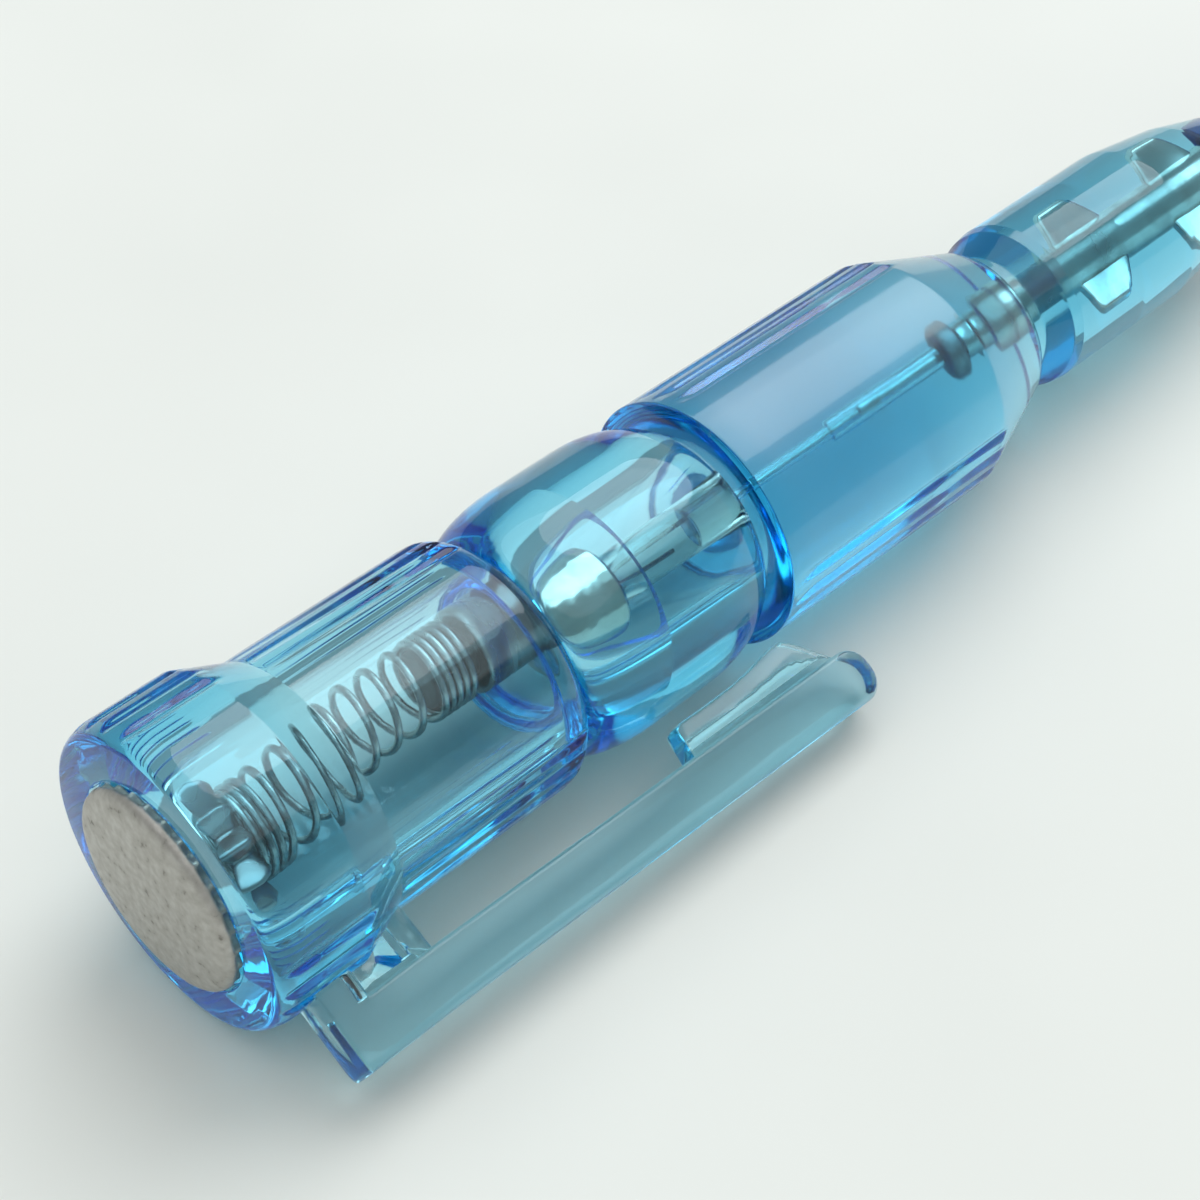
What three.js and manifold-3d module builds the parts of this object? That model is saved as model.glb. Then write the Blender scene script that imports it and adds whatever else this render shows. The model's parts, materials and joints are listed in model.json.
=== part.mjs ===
// Voltage tester screwdriver: a clear moulded handle with a pocket clip, a pressed touch cap,
// a spring, a resistor and a neon lamp in its bore, and a flat blade moulded into its nose.
// Millimetres. The pen is drawn along X, from its touch cap at x = 0 to its blade tip, with the
// clip on +Z. It is then laid on a table, on its collar, its front grip and the end of its clip.

import * as THREE from 'three';
import { mergeVertices } from 'three/addons/utils/BufferGeometryUtils.js';
import Module from 'manifold-3d';

const wasm = await Module();
wasm.setup();

// Handle: lengths follow each other from the rear face to the nose
const capProud = 0.9;
const collarRadius = 8.13;
const collarLength = 5.3;
const collarRoundLength = 1.5;
const collarRoundDrop = 0.65;
const collarTaperLength = 2.7;
const rearGripRadius = 7.0;
const rearGripLength = 12.6;
const rearGripRound = 1.5;
const neckRadius = 5.3;
const beadRadius = 7.07;
const beadLength = 13.5;
const beadRearRound = 4.5;
const beadFrontRound = 4.8;
const beadFrontRadius = 4.5;
const frontGripRadius = 7.05;
const frontGripLength = 16.8;
const frontTaperLength = 6.0;
const noseRadius = 4.9;
const grooveRadius = 3.9;
const grooveLength = 3.1;
const grooveFlatLength = 1.6;
const grooveLipDrop = 0.15;
const noseEaseLength = 0.5;
const noseLength = 11.1;
const noseTaperLength = 10.5;
const noseMidTaperLength = 5.2;
const noseMidRadius = 4.2;
const noseTipRadius = 2.9;

// Flutes of the collar and the two grips, on the clip's side and the side across from it.
// The two sides between them are left smooth, as windows on the lamp
const fluteCount = 32;
const fluteDepth = 0.16;
const fluteCrest = 0.35;
const clipSideSector = 39;
const farSideSector = 50;
const fluteFootMargin = 0.3;

// Bore from the rear: wide round the cap's shank and the spring, then a stretch that holds the resistor's
// front cap, the lamp's stretch and the lead's
const springBoreLap = 1.4;
const boreRadius = 3.7;
const boreStepFromRear = 27.5;
const lampBoreRadius = 3.4;
const leadBoreRadius = 0.8;
const seatClearance = 0.15;
const stackClearance = 0.3;

// Touch cap
const capRadius = 5.35;
const capHeadLength = 1.2;
const capFlatRadius = 3.4;
const capCrown = 0.3;
const capToothCount = 28;
const capToothDepth = 0.3;
const shankRadius = 4.2;
const shankLength = 2.7;
const shankRibCount = 16;
const shankRibDepth = 0.55;
const spigotRadius = 1.45;
const spigotLength = 1.5;

// Contact spring
const springRadius = 2.05;
const wireDiameter = 0.45;
const rearCloseTurns = 2;
const openTurns = 7;
const frontCloseTurns = 2;
const closePitch = 0.95;
const springLeadLength = 0.4;

// Resistor, which lies on the bore's wall on the side away from the clip
const resistorRadius = 1.3;
const resistorLength = 6.4;
const resistorCapFloor = 0.4;
const resistorRearCapWall = 0.15;
const resistorRearCapLength = 1.0;
const resistorFrontCapRadius = 2.3;
const resistorFrontCapLength = 3.7;

// Neon lamp, and the lead from its front end to the blade
const lampCapRadius = 2.65;
const lampCapLength = 4.0;
const lampCapFloor = 1.0;
const lampCapStandOff = 1.1;
const glassRadius = 1.4;
const glassWall = 0.3;
const glassLength = 10.8;
const sealLength = 2.0;
const electrodeDiameter = 0.3;
const electrodeSpacing = 0.9;
const electrodeOverlap = 4.0;
const electrodeOverlapFromGlass = 3.5;
const leadDiameter = 0.6;
const leadLength = 16.7;
const crimpRadius = 0.5;
const crimpLength = 1.6;
const crimpFromTip = 4.7;

// Blade
const bladeDiameter = 1.7;
const bladeOverall = 140;
const contactRadius = 1.0;
const contactLength = 0.8;
const contactNeckRadius = 0.5;
const contactNeckLength = 2.0;
const wingSpan = 4.0;
const wingThickness = 0.6;
const wingLength = 5.0;
const wingRamp = 1.2;
const wingFromLip = [3.2, 12.0];
const tipWidth = 3.0;
const tipThickness = 0.6;
const tipLength = 11.0;
const tipFlatLength = 4.5;

// Insulating sleeve on the blade
const sleeveWall = 0.5;
const sleeveBare = 1.5;
const sleeveSeatDepth = 3.5;

// Pocket clip
const clipWidth = 3.0;
const clipThickness = 2.9;
const clipStandOff = 1.17;
const clipRearFromFace = 2.1;
const clipLength = 34.6;
const clipEndRound = 1.3;
const clipRise = 0.5;
const clipRearWall = 2.0;
const clipFrontWall = 0.6;
const clipWebThickness = 1.4;
const clipRootGap = 0.3;
const padWidth = 1.5;
const padRearGap = 0.7;
const padFrontGap = 0.4;
const padRearFromRoot = 17.3;
const padLength = 8.0;
const padRamp = 1.7;

// Facets
const handleSides = 48;
const boreSides = 28;
const smallSides = 20;

// Stations worked out from the lengths
const rearFaceX = capProud;
const collarEndX = rearFaceX + collarLength;
const rearGripX = collarEndX + collarTaperLength;
const neckX = rearGripX + rearGripLength;
const frontGripX = neckX + beadLength;
const frontTaperX = frontGripX + frontGripLength;
const grooveX = frontTaperX + frontTaperLength;
const lipX = grooveX + grooveLength;
const noseTaperX = lipX + noseLength;
const handleEndX = noseTaperX + noseTaperLength;
const boreStepX = rearFaceX + boreStepFromRear;
const shankEndX = capHeadLength + shankLength;
const lampCapX = boreStepX - lampCapStandOff - lampCapLength;
const resistorX = lampCapX - stackClearance - resistorLength;
const springSeatX = resistorX + resistorLength - resistorFrontCapLength;
const springBoreEndX = springSeatX + springBoreLap;
const glassX = lampCapX + lampCapFloor + seatClearance;
const glassEndX = glassX + glassLength;
const leadX = glassEndX + seatClearance;
const leadEndX = leadX + leadLength;
const bladeRearX = leadEndX + stackClearance;
const tipX = bladeOverall - tipLength;
const sleeveX = handleEndX - sleeveSeatDepth;

// Radii worked out from the fits
const bladeRadius = bladeDiameter / 2;
const shankBoreRadius = shankRadius + seatClearance;
const resistorBore = resistorRadius + seatClearance;
const resistorRearCapRadius = resistorBore + resistorRearCapWall;
const glassBore = glassRadius + seatClearance;
const resistorDrop = boreRadius - resistorFrontCapRadius - seatClearance;
const sleeveRadius = bladeRadius + seatClearance + sleeveWall;
const clipInnerRadius = collarRadius + clipStandOff;
const clipOuterRadius = clipInnerRadius + clipThickness;

// Helpers: solids from three.js geometry

function toSolid(geometry) {
  const bare = geometry.clone();
  bare.deleteAttribute('normal');
  bare.deleteAttribute('uv');
  const merged = mergeVertices(bare, 1e-4);
  const triVerts = new Uint32Array(merged.index.array);
  const vertProperties = new Float32Array(merged.attributes.position.array);
  const mesh = new wasm.Mesh({ numProp: 3, vertProperties, triVerts });
  const solid = new wasm.Manifold(mesh);
  if (solid.volume() > 0) return solid;
  for (let i = 0; i < triVerts.length; i += 3) {
    const second = triVerts[i + 1];
    triVerts[i + 1] = triVerts[i + 2];
    triVerts[i + 2] = second;
  }
  return new wasm.Manifold(new wasm.Mesh({ numProp: 3, vertProperties, triVerts }));
}

function toGeometry(solid) {
  const mesh = solid.getMesh();
  const geometry = new THREE.BufferGeometry();
  geometry.setAttribute('position', new THREE.BufferAttribute(new Float32Array(mesh.vertProperties), 3));
  geometry.setIndex(new THREE.BufferAttribute(new Uint32Array(mesh.triVerts), 1));
  geometry.computeVertexNormals();
  return geometry;
}

// A piece turned about X from [x, radius] points
function turned(profile, sides) {
  const points = profile.map(([x, radius]) => new THREE.Vector2(radius, x));
  const geometry = new THREE.LatheGeometry(points, sides);
  geometry.rotateZ(-Math.PI / 2);
  return toSolid(geometry);
}

function rod(x0, x1, radius, sides = smallSides) {
  return turned([[x0, 0], [x0, radius], [x1, radius], [x1, 0]], sides);
}

// An outline of [across, along] points in the YZ plane, drawn out along X
function bar(outline, x0, x1) {
  const shape = new THREE.Shape(outline.map(([y, z]) => new THREE.Vector2(-z, y)));
  const geometry = new THREE.ExtrudeGeometry(shape, { depth: x1 - x0, bevelEnabled: false });
  geometry.rotateY(Math.PI / 2);
  geometry.translate(x0, 0, 0);
  return toSolid(geometry);
}

// An outline of [x, z] points, of a given width about the XZ plane
function plate(outline, width) {
  const shape = new THREE.Shape(outline.map(([x, z]) => new THREE.Vector2(x, z)));
  const geometry = new THREE.ExtrudeGeometry(shape, { depth: width, bevelEnabled: false });
  geometry.translate(0, 0, -width / 2);
  geometry.rotateX(Math.PI / 2);
  return toSolid(geometry);
}

// An outline of [x, y] points, of a given height about the XY plane
function slab(outline, height) {
  const shape = new THREE.Shape(outline.map(([x, y]) => new THREE.Vector2(x, y)));
  const geometry = new THREE.ExtrudeGeometry(shape, { depth: height, bevelEnabled: false });
  geometry.translate(0, 0, -height / 2);
  return toSolid(geometry);
}

// A toothed ring outline: between two crests lies a root, where hasRoot allows it at that angle from Z
function toothed(count, tipRadius, rootRadius, hasRoot = () => true) {
  const outline = [];
  const quarter = Math.PI / count / 2;
  for (let i = 0; i < count; i++) {
    const middle = (2 * Math.PI * i) / count;
    const low = hasRoot(THREE.MathUtils.radToDeg(middle)) ? rootRadius : tipRadius;
    const corners = [[-1.4, tipRadius], [-0.6, low], [0.6, low], [1.4, tipRadius]];
    for (const [step, radius] of corners) {
      const angle = middle + step * quarter;
      outline.push([radius * Math.sin(angle), radius * Math.cos(angle)]);
    }
  }
  return outline;
}

// A quarter ellipse that leaves x0 square to the axis and arrives at x1 along it
function risingRound(x0, r0, x1, r1, steps) {
  const points = [];
  for (let i = 0; i <= steps; i++) {
    const angle = (Math.PI / 2) * (i / steps);
    points.push([x0 + (x1 - x0) * (1 - Math.cos(angle)), r0 + (r1 - r0) * Math.sin(angle)]);
  }
  return points;
}

// The mirror image: it leaves x0 along the axis and arrives at x1 square to it
function fallingRound(x0, r0, x1, r1, steps) {
  return risingRound(-x1, r1, -x0, r0, steps).map(([x, r]) => [-x, r]).reverse();
}

// Handle

const outerProfile = [
  [rearFaceX, 0],
  ...risingRound(rearFaceX, collarRadius - collarRoundDrop, rearFaceX + collarRoundLength, collarRadius, 4),
  [collarEndX, collarRadius],
  [rearGripX, rearGripRadius],
  ...fallingRound(neckX - rearGripRound, rearGripRadius, neckX, rearGripRadius - rearGripRound, 4),
  ...risingRound(neckX, neckRadius, neckX + beadRearRound, beadRadius, 5),
  ...fallingRound(frontGripX - beadFrontRound, beadRadius, frontGripX, beadFrontRadius, 6),
  [frontGripX, frontGripRadius],
  [frontTaperX, frontGripRadius],
  [grooveX, noseRadius],
  [grooveX, grooveRadius],
  [grooveX + grooveFlatLength, grooveRadius],
  [lipX, noseRadius - grooveLipDrop],
  [lipX + noseEaseLength, noseRadius],
  [noseTaperX, noseRadius],
  [noseTaperX + noseMidTaperLength, noseMidRadius],
  [handleEndX, noseTipRadius],
  [handleEndX, 0],
];

// The material that the flutes take from a stretch of the handle
function fluteCutter(x0, x1, radius) {
  const ring = rod(x0, x1, radius + 1, fluteCount * 2);
  const fromClip = (angle) => Math.min(angle, 360 - angle);
  const fluted = (angle) => fromClip(angle) < clipSideSector || fromClip(angle) > 180 - farSideSector;
  const star = bar(toothed(fluteCount, radius + fluteCrest, radius - fluteDepth, fluted), x0 - 1, x1 + 1);
  return ring.subtract(star);
}

// The turned blade with its wings. grow is the clearance that a pocket for it needs
function bladeShank(grow) {
  const neckEndX = bladeRearX + contactLength + contactNeckLength;
  let shank = turned([
    [bladeRearX - grow, 0],
    [bladeRearX - grow, contactRadius + grow],
    [bladeRearX + contactLength + grow, contactRadius + grow],
    [bladeRearX + contactLength + grow, contactNeckRadius + grow],
    [neckEndX - grow, contactNeckRadius + grow],
    [neckEndX - grow, bladeRadius + grow],
    [tipX + wingRamp, bladeRadius + grow],
    [tipX + wingRamp, 0],
  ], smallSides);
  for (const fromLip of wingFromLip) {
    const x0 = lipX + fromLip - grow;
    const x1 = lipX + fromLip + wingLength + grow;
    const half = wingSpan / 2 + grow;
    const low = bladeRadius * 0.5;
    const wing = plate([
      [x0, -low], [x0 + wingRamp, -half], [x1 - wingRamp, -half], [x1, -low],
      [x1, low], [x1 - wingRamp, half], [x0 + wingRamp, half], [x0, low],
    ], wingThickness + 2 * grow);
    shank = shank.add(wing);
  }
  return shank;
}

function makeHandle() {
  let handle = turned(outerProfile, handleSides);
  handle = handle.subtract(fluteCutter(rearFaceX, rearGripX, collarRadius));
  handle = handle.subtract(fluteCutter(rearGripX + fluteFootMargin, neckX, rearGripRadius));
  handle = handle.subtract(fluteCutter(frontGripX - fluteFootMargin, grooveX, frontGripRadius));
  const counterboreX = capHeadLength + stackClearance;
  const bore = turned([
    [-1, 0],
    [-1, capRadius + seatClearance],
    [counterboreX, capRadius + seatClearance],
    [counterboreX, shankBoreRadius],
    [springBoreEndX, shankBoreRadius],
    [springBoreEndX, boreRadius],
    [boreStepX, boreRadius],
    [boreStepX, lampBoreRadius],
    [glassEndX + stackClearance, lampBoreRadius],
    [glassEndX + stackClearance, leadBoreRadius],
    [bladeRearX, leadBoreRadius],
    [bladeRearX, 0],
  ], boreSides);
  handle = handle.subtract(bore);
  handle = handle.subtract(bladeShank(seatClearance));
  return handle.subtract(rod(sleeveX - seatClearance, handleEndX + 1, sleeveRadius + seatClearance));
}

// Touch cap: a crowned head with a toothed edge, and a ribbed shank pressed into the bore

function makeTouchCap() {
  const crown = turned([
    [0, 0],
    [0, capFlatRadius],
    [capCrown, capRadius],
    [capHeadLength, capRadius],
    [capHeadLength, 0],
  ], capToothCount * 2);
  const teeth = bar(toothed(capToothCount, capRadius, capRadius - capToothDepth), -1, capHeadLength + 1);
  const plainEdge = rod(-1, rearFaceX - seatClearance, capRadius + 1);
  const head = crown.intersect(teeth.add(plainEdge));
  const shank = bar(toothed(shankRibCount, shankRadius, shankRadius - shankRibDepth), rearFaceX, shankEndX);
  return head.add(shank).add(rod(rearFaceX, shankEndX + spigotLength, spigotRadius));
}

// Lamp, resistor and spring follow the bore step rearwards

function cup(x0, x1, radius, boreSize, floor, opensForward) {
  const body = rod(x0, x1, radius, boreSides);
  const hollow = opensForward ? rod(x0 + floor, x1 + 1, boreSize) : rod(x0 - 1, x1 - floor, boreSize);
  return body.subtract(hollow);
}

// The lamp's two electrodes lie side by side in its tube, each held by the seal at its own end
const overlapX = glassX + electrodeOverlapFromGlass;
const overlapEndX = overlapX + electrodeOverlap;

function electrode(x0, x1, side, grow = 0) {
  return rod(x0, x1, electrodeDiameter / 2 + grow, 10).translate(0, 0, (side * electrodeSpacing) / 2);
}

function seal(x0, side) {
  const disc = rod(x0, x0 + sealLength, glassRadius - glassWall - seatClearance);
  return disc.subtract(electrode(x0 - 1, x0 + sealLength + 1, side, seatClearance / 2));
}

const stack = {
  resistor_rear_cap: cup(
    resistorX, resistorX + resistorRearCapLength, resistorRearCapRadius, resistorBore, resistorCapFloor, true)
    .translate(0, 0, -resistorDrop),
  resistor_rod: rod(
    resistorX + resistorCapFloor + seatClearance,
    resistorX + resistorLength - resistorCapFloor - seatClearance, resistorRadius)
    .translate(0, 0, -resistorDrop),
  resistor_front_cap: cup(
    springSeatX, resistorX + resistorLength,
    resistorFrontCapRadius, resistorBore, resistorCapFloor, false)
    .translate(0, 0, -resistorDrop),
  lamp_rear_cap: cup(lampCapX, lampCapX + lampCapLength, lampCapRadius, glassBore, lampCapFloor, true),
  lamp_glass: rod(glassX, glassEndX, glassRadius, boreSides).subtract(
    rod(glassX - 1, glassEndX + 1, glassRadius - glassWall)),
  lamp_rear_seal: seal(glassX, 1),
  lamp_front_seal: seal(glassEndX - sealLength, -1),
  lamp_rear_electrode: electrode(glassX, overlapEndX, 1),
  lamp_front_electrode: electrode(overlapX, glassEndX, -1),
  lamp_front_lead: rod(leadX, leadEndX, leadDiameter / 2, 12).add(
    rod(leadEndX - crimpFromTip - crimpLength, leadEndX - crimpFromTip, crimpRadius, 12)),
};

// Spring: close turns at both ends and open turns between, in one unbroken wire. Its front turns go
// round the resistor and push on the resistor's front cap, so it bows to the resistor's side

function springPoints() {
  const startX = shankEndX + stackClearance;
  const endX = springSeatX - stackClearance;
  const lead = wireDiameter + springLeadLength;
  const closeTurns = rearCloseTurns + frontCloseTurns;
  const openPitch = (endX - startX - 2 * lead - closeTurns * closePitch) / openTurns;
  const turns = closeTurns + openTurns;
  const bow = (x) => -resistorDrop * THREE.MathUtils.smoothstep(x, shankEndX + spigotLength, resistorX);
  const points = [new THREE.Vector3(startX, 0, springRadius)];
  points.push(new THREE.Vector3(startX + wireDiameter, 0, springRadius));
  const stepsPerTurn = 8;
  for (let i = 1; i <= turns * stepsPerTurn; i++) {
    const turn = i / stepsPerTurn;
    const inRear = Math.min(turn, rearCloseTurns);
    const inOpen = Math.min(Math.max(turn - rearCloseTurns, 0), openTurns);
    const inFront = Math.max(turn - rearCloseTurns - openTurns, 0);
    const x = startX + lead + (inRear + inFront) * closePitch + inOpen * openPitch;
    const angle = turn * 2 * Math.PI;
    points.push(new THREE.Vector3(x, springRadius * Math.sin(angle), springRadius * Math.cos(angle) + bow(x)));
  }
  const last = points[points.length - 1];
  points.push(new THREE.Vector3(endX - wireDiameter, last.y, last.z));
  points.push(new THREE.Vector3(endX, last.y, last.z));
  return points;
}

function makeSpring() {
  const points = springPoints();
  const path = new THREE.CatmullRomCurve3(points, false, 'centripetal');
  const section = new THREE.Shape();
  const sides = 5;
  for (let i = 0; i < sides; i++) {
    const angle = (2 * Math.PI * i) / sides;
    const [x, y] = [Math.cos(angle), Math.sin(angle)].map((value) => (value * wireDiameter) / 2);
    if (i === 0) section.moveTo(x, y);
    else section.lineTo(x, y);
  }
  const steps = points.length - 1;
  const tube = new THREE.ExtrudeGeometry(section, { steps, extrudePath: path, bevelEnabled: false });
  const samples = path.getSpacedPoints(steps * 4);
  const neighbours = 16;
  let least = Infinity;
  for (let i = 0; i < samples.length; i++) {
    for (let j = i + neighbours; j < samples.length; j++) {
      least = Math.min(least, samples[i].distanceTo(samples[j]));
    }
  }
  console.log(`spring: least gap between turns ${(least - wireDiameter).toFixed(2)} mm`);
  return toSolid(tube);
}

// Blade: the turned shank, and a tip pressed flat and wide

function makeBlade() {
  const wide = tipWidth / 2;
  const thin = tipThickness / 2;
  const flatX = bladeOverall - tipFlatLength;
  const across = plate([
    [tipX, -bladeRadius], [flatX, -wide], [bladeOverall, -wide],
    [bladeOverall, wide], [flatX, wide], [tipX, bladeRadius],
  ], bladeDiameter);
  const through = slab([
    [tipX, -bladeRadius], [flatX, -thin], [bladeOverall, -thin],
    [bladeOverall, thin], [flatX, thin], [tipX, bladeRadius],
  ], tipWidth + 1);
  const round = rod(tipX, bladeOverall + 1, Math.hypot(wide, thin));
  return bladeShank(0).subtract(rod(tipX, bladeOverall, tipWidth)).add(across.intersect(through).intersect(round));
}

function makeSleeve() {
  const endX = tipX - sleeveBare;
  const tube = rod(sleeveX, endX, sleeveRadius);
  return tube.subtract(rod(sleeveX - 1, endX + 1, bladeRadius + seatClearance));
}

// Pocket clip: a root on the collar, and an arm that bends away from the handle at its inner edge

const clipRearX = rearFaceX + clipRearFromFace;
const clipRootEndX = rearGripX;
const armX = clipRootEndX + clipRootGap;
const clipEndX = clipRearX + clipLength;
const pivotX = clipRootEndX + clipRootGap / 2;
const riseAt = (x) => (clipRise * Math.max(x - pivotX, 0)) / (clipEndX - pivotX);

function makeClipRoot() {
  const block = plate([
    [clipRearX, rearGripRadius], [clipRootEndX, rearGripRadius],
    [clipRootEndX, clipOuterRadius], [clipRearX, clipOuterRadius],
  ], clipWidth);
  const webX = clipRearX + clipRearWall;
  const webEndX = clipRootEndX - clipFrontWall;
  const web = plate([
    [webX, 0], [webEndX, 0], [webEndX, clipInnerRadius], [webX, clipInnerRadius],
  ], clipWebThickness);
  const opening = plate([
    [webX, 0], [webEndX, 0], [webEndX, clipInnerRadius], [webX, clipInnerRadius],
  ], clipWidth + 1);
  const seat = turned([
    [rearFaceX, 0],
    [rearFaceX, collarRadius + clipRootGap],
    [collarEndX, collarRadius + clipRootGap],
    [rearGripX + 1, rearGripRadius + clipRootGap],
    [rearGripX + 1, 0],
  ], handleSides);
  return block.subtract(opening).add(web).subtract(seat);
}

function makeClipArm() {
  const inner = (x) => clipInnerRadius + riseAt(x);
  const outer = (x) => clipOuterRadius + riseAt(x);
  const endRoundX = clipEndX - clipEndRound;
  const corner = clipEndRound * Math.SQRT1_2;
  const middle = endRoundX + corner;
  const arm = plate([
    [armX, inner(armX)],
    [endRoundX, inner(endRoundX)],
    [middle, inner(endRoundX) + clipEndRound - corner],
    [clipEndX, inner(endRoundX) + clipEndRound],
    [clipEndX, outer(endRoundX) - clipEndRound],
    [middle, outer(endRoundX) - clipEndRound + corner],
    [endRoundX, outer(endRoundX)],
    [armX, outer(armX)],
  ], clipWidth);
  const padX = armX + padRearFromRoot;
  const padEndX = padX + padLength;
  const handleRadius = Math.max(beadRadius, frontGripRadius);
  const pad = plate([
    [padX, inner(padX) + 0.5],
    [padX, handleRadius + padRearGap],
    [padEndX, handleRadius + padFrontGap],
    [padEndX + padRamp, inner(padEndX + padRamp) + 0.5],
  ], padWidth);
  return arm.add(pad);
}

// The scene graph

function material(color, roughness, metalness, opacity = 1) {
  return new THREE.MeshStandardMaterial({ color, roughness, metalness, opacity, transparent: opacity < 1 });
}

const clearBlue = () => material('#6fbcd8', 0.12, 0, 0.4);
const nickel = () => material('#c9cbc8', 0.28, 1);
const steel = () => material('#b9bdbf', 0.35, 1);

const pen = new THREE.Group();
function place(name, solid, finish, parent = pen) {
  const mesh = new THREE.Mesh(toGeometry(solid), finish);
  mesh.name = name;
  parent.add(mesh);
}

place('handle_body', makeHandle(), clearBlue());
place('clip_root', makeClipRoot(), clearBlue());
place('clip_arm', makeClipArm(), clearBlue());
place('touch_cap', makeTouchCap(), material('#b3aea5', 0.5, 1));
place('contact_spring', makeSpring(), steel());
place('blade', makeBlade(), steel());
place('blade_sleeve', makeSleeve(), material('#1f5fae', 0.45, 0));
const stackFinishes = {
  resistor_rod: material('#4a4d4e', 0.6, 0),
  lamp_glass: material('#dfe7e6', 0.05, 0, 0.3),
  lamp_rear_seal: material('#dfe7e6', 0.05, 0, 0.3),
  lamp_front_seal: material('#dfe7e6', 0.05, 0, 0.3),
};
for (const [name, solid] of Object.entries(stack)) place(name, solid, stackFinishes[name] ?? nickel());

// Lay the pen down: the table touches the collar's front edge and the front grip's front edge,
// and the pen is rolled until the outer corner of the clip's free end touches it too.
const layTilt = Math.atan2(collarRadius - frontGripRadius, frontTaperX - collarEndX);
const restX = clipEndX - clipEndRound;
const restRadius = clipOuterRadius + riseAt(restX);
const drop = collarRadius - (restX - collarEndX) * Math.tan(layTilt);
const layRoll = Math.asin(drop / Math.hypot(restRadius, clipWidth / 2)) - Math.atan2(clipWidth / 2, restRadius);
pen.rotation.x = Math.PI / 2 + layRoll;

const tilted = new THREE.Group();
tilted.rotation.y = layTilt;
tilted.add(pen);

// The origin is below the middle of the whole object's box, on the table
const tester = new THREE.Group();
tester.name = 'voltage_tester_screwdriver';
tester.add(tilted);
tester.updateMatrixWorld(true);
const box = new THREE.Box3().setFromObject(tester, true);
tilted.position.set(-(box.min.x + box.max.x) / 2, -(box.min.y + box.max.y) / 2, -box.min.z);

// The clip arm's bending line, for whoever poses it
const clipPivot = new THREE.Object3D();
clipPivot.name = 'clip_pivot';
clipPivot.position.set(pivotX, 0, clipInnerRadius);
pen.add(clipPivot);

export default tester;
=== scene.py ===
import json
import math

import bmesh
import bpy
from mathutils import Matrix, Vector


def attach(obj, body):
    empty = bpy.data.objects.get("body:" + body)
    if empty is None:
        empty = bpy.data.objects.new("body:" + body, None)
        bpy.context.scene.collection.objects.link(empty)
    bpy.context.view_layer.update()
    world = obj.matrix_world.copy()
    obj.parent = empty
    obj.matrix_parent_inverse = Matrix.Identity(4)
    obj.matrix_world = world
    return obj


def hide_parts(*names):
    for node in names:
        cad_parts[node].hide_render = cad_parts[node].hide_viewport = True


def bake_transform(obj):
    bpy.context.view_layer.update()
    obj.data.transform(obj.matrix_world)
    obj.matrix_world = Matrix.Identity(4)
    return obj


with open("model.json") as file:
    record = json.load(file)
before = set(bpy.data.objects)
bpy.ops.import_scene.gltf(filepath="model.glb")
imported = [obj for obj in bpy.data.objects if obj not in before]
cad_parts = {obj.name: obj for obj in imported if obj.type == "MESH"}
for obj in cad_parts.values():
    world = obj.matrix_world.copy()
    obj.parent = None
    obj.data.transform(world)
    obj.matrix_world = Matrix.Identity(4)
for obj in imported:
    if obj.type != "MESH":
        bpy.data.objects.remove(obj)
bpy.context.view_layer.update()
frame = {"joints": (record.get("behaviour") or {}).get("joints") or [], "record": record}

# The pen's own frame: X from the touch cap to the blade, Z towards the clip, in millimetres.
# The record's joints and mounts say how it lies on the table.
mm = 0.001
joints = {joint["name"]: joint for joint in frame["joints"]}
mounts = {mount["name"]: mount for mount in frame["record"]["mounts"]}
pen_x = -Vector(joints["lamp_travel"]["axis"])
pen_y = -Vector(joints["clip_flex"]["axis"])
pen_z = pen_x.cross(pen_y)
pen = Matrix.Translation(mounts["touch_face"]["pos_m"])
pen = pen @ Matrix((pen_x, pen_y, pen_z)).transposed().to_4x4()
pen = pen @ Matrix.Scale(mm, 4)
from_pen = pen.inverted()


# Handle: the clear blue body that holds everything else. It is injection moulded from cellulose
# acetate round the blade, bored from the rear for the spring and the lamp, and fluted for grip on
# the clip's side and on the side across from it.

# Outside, as places along X and radii from the touch cap's end to the tip of the nose
rim_x = 0.9
rim_r = 7.48
collar_r = 8.11
collar_top_x = 2.4
collar_edge_x = 6.2
collar_foot_x = 8.9
rear_grip_r = 7.0
rear_grip_start_x = 9.2
rear_grip_end_x = 21.5
rear_grip_round = 1.5
waist_r = 5.35
waist_soft = 0.05
bead_r = 7.07
bead_rise_end_x = 26.0
bead_fall_start_x = 30.2
front_grip_x = 35.0
front_neck_r = 4.5
front_grip_r = 7.05
taper_start_x = 51.8
taper_end_x = 57.8
groove_r = 3.9
groove_end_x = 59.4
nose_rise_x = 60.9
nose_rise_r = 4.78
nose_start_x = 61.6
nose_r = 4.9
nose_round_x = 72.0
nose_slope_x = 77.2
nose_slope_r = 4.2
nose_tip_x = 82.5
nose_tip_r = 2.9

# Inside, from the cap's seat to the thin hole of the lamp's lead
cap_bore_r = 5.5
cap_seat_x = 1.4
spring_bore_r = 4.35
spring_bore_end_x = 20.7
stack_bore_r = 3.7
stack_bore_end_x = 28.0
lamp_bore_r = 3.4
lamp_bore_end_x = 35.55
lead_hole_r = 0.2
crimp_hole_r = 0.36
crimp_hole_x = 43.5
crimp_hole_lead_in = 0.1
lead_hole_end_x = 52.35

# Rounds of the edges, from the knife edges that a core pin leaves to the long round of the nose
pin_edge = 0.015
hole_edge = 0.05
bore_edge = 0.1
rim_edge = 0.12
step_round = 0.3
collar_edge_round = 0.5
collar_foot_round = 0.06
taper_round = 0.9
groove_round = 0.25
groove_end_round = 0.4
nose_round = 2.5
nose_slope_round = 2.0
nose_tip_round = 0.4

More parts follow.
